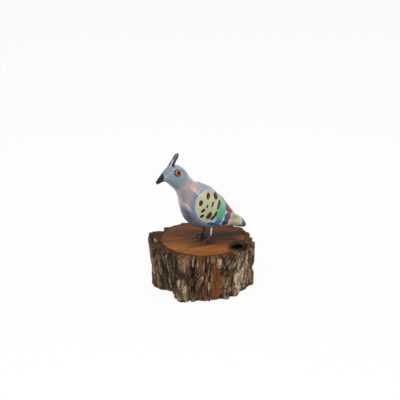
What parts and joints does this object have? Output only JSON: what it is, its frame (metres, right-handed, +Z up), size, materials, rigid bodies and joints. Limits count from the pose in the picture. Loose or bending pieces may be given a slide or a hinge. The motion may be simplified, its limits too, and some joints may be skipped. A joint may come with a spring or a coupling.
{
  "type": "pigeon figurine",
  "caption": "Glazed clay pigeon with an upright crest, standing on wire legs on a slice of branch with its bark on.",
  "frame": {"origin": "centre of the log slice's sawn underside, on the surface it stands on", "axes": "+Z up, -X the way the bird faces, -Y its left side"},
  "size_m": [0.0828, 0.079, 0.1107],
  "materials": {
    "log": "rough bark, varnished sawn top",
    "glazed_clay": "hand painted, clear glaze",
    "eye_glass": "polished, amber with a dark pupil",
    "leg_wire": "bright drawn wire",
    "toe_wire": "darkened wire"
  },
  "bodies": {
    "root": {"log_slice": "log", "pigeon_body": "glazed_clay", "left_eye": "eye_glass", "right_eye": "eye_glass", "left_leg": "leg_wire", "right_leg": "leg_wire", "left_foot": "toe_wire", "right_foot": "toe_wire"}
  },
  "joints": []
}
